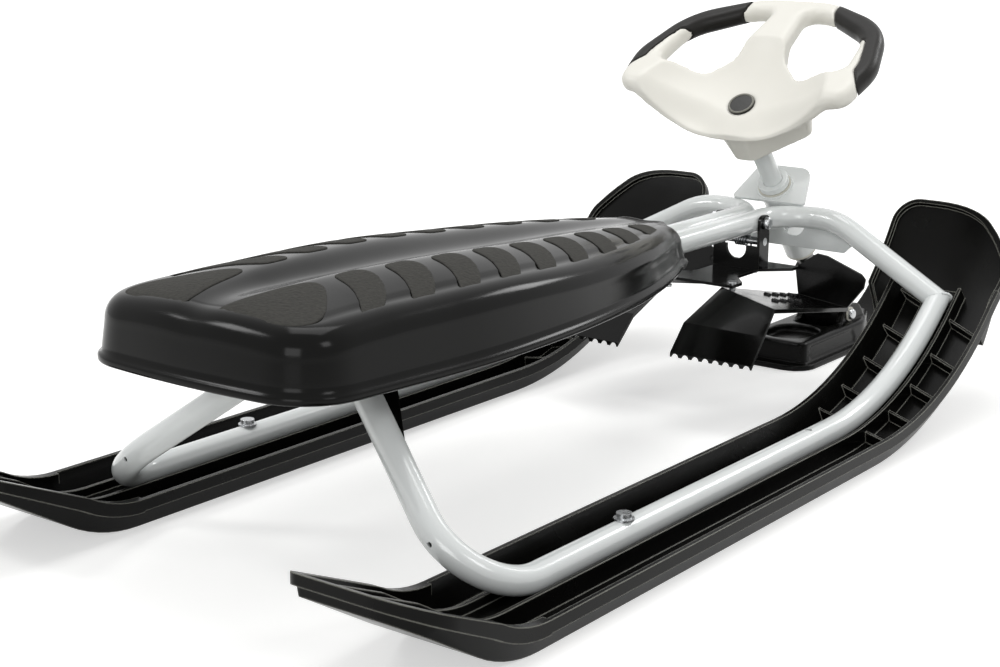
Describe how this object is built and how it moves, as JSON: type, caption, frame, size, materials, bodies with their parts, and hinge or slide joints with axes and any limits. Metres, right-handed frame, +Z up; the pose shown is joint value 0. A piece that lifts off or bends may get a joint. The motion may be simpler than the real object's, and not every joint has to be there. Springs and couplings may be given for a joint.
{
  "type": "steering sled",
  "caption": "Snow sled with a tube frame on fixed side skis, a long moulded seat, a steering wheel that turns a front ski, and a sprung foot brake with claws.",
  "frame": {"origin": "on the floor, below the middle of the sled's overall box", "axes": "+X to the rider's right, +Y forward along the skis, +Z up"},
  "size_m": [0.5, 1.158, 0.3772],
  "materials": {
    "white_paint": "glossy white powder coat",
    "ski_plastic": "satin black moulded plastic",
    "seat_plastic": "glossy black moulded plastic",
    "pad_rubber": "matt dark grey, finely grained",
    "wheel_plastic": "satin warm white plastic",
    "grip_rubber": "satin black soft grip",
    "cap_plastic": "dark cap with a raised rim",
    "stem_plastic": "black glass-filled plastic",
    "bush_nylon": "pale nylon",
    "brake_paint": "satin black paint",
    "zinc_steel": "bright zinc",
    "spring_steel": "drawn spring wire",
    "cone_metal": "turned grey metal"
  },
  "bodies": {
    "frame": {"right_main_tube": "white_paint", "left_main_tube": "white_paint", "right_runner_tube": "white_paint", "left_runner_tube": "white_paint", "head_tube": "white_paint", "head_plate": "white_paint", "head_gusset": "white_paint", "right_ski": "ski_plastic", "left_ski": "ski_plastic", "seat_shell": "seat_plastic", "right_leg_gusset": "seat_plastic", "left_leg_gusset": "seat_plastic", "seat_grip_pads": "pad_rubber", "upper_head_bush": "bush_nylon", "lower_head_bush": "bush_nylon", "seat_front_bracket": "brake_paint", "seat_rear_bracket": "brake_paint", "ski_bolts": "zinc_steel", "ski_nuts": "zinc_steel", "ski_front_screws": "zinc_steel", "seat_screws": "zinc_steel", "brake_pivot_bolt": "zinc_steel", "brake_pivot_nut": "zinc_steel"},
    "steering": {"steering_column": "white_paint", "steering_wheel": "wheel_plastic", "right_wheel_grip": "grip_rubber", "left_wheel_grip": "grip_rubber", "hub_cap": "cap_plastic", "wheel_bolt": "zinc_steel", "column_collar": "zinc_steel", "stem_cone": "cone_metal", "ski_stem": "stem_plastic", "axle_bolt": "zinc_steel", "axle_nut": "zinc_steel"},
    "front_ski": {"front_ski": "ski_plastic", "front_ski_bushes": "bush_nylon"},
    "brake": {"brake_hanger": "brake_paint", "brake_bridge": "brake_paint", "right_brake_plate": "brake_paint", "left_brake_plate": "brake_paint", "brake_studs": "brake_paint", "brake_rivets": "zinc_steel", "brake_spring": "spring_steel", "brake_spring_pin": "zinc_steel"}
  },
  "joints": [
    {"name": "steer", "type": "hinge", "parent": "frame", "child": "steering", "pos_m": [0, 0.323, 0.166], "axis": [0, -0.6428, 0.766], "range_deg": [-35, 35]},
    {"name": "ski_pitch", "type": "hinge", "parent": "steering", "child": "front_ski", "pos_m": [0, 0.43195, 0.03616], "axis": [1, 0, 0], "range_deg": [-10, 10]},
    {"name": "brake_swing", "type": "hinge", "parent": "frame", "child": "brake", "pos_m": [0, 0.237, 0.165], "axis": [1, 0, 0], "range_deg": [0, 18], "stiffness_Nm_per_rad": 2, "springref_deg": -34.38}
  ]
}
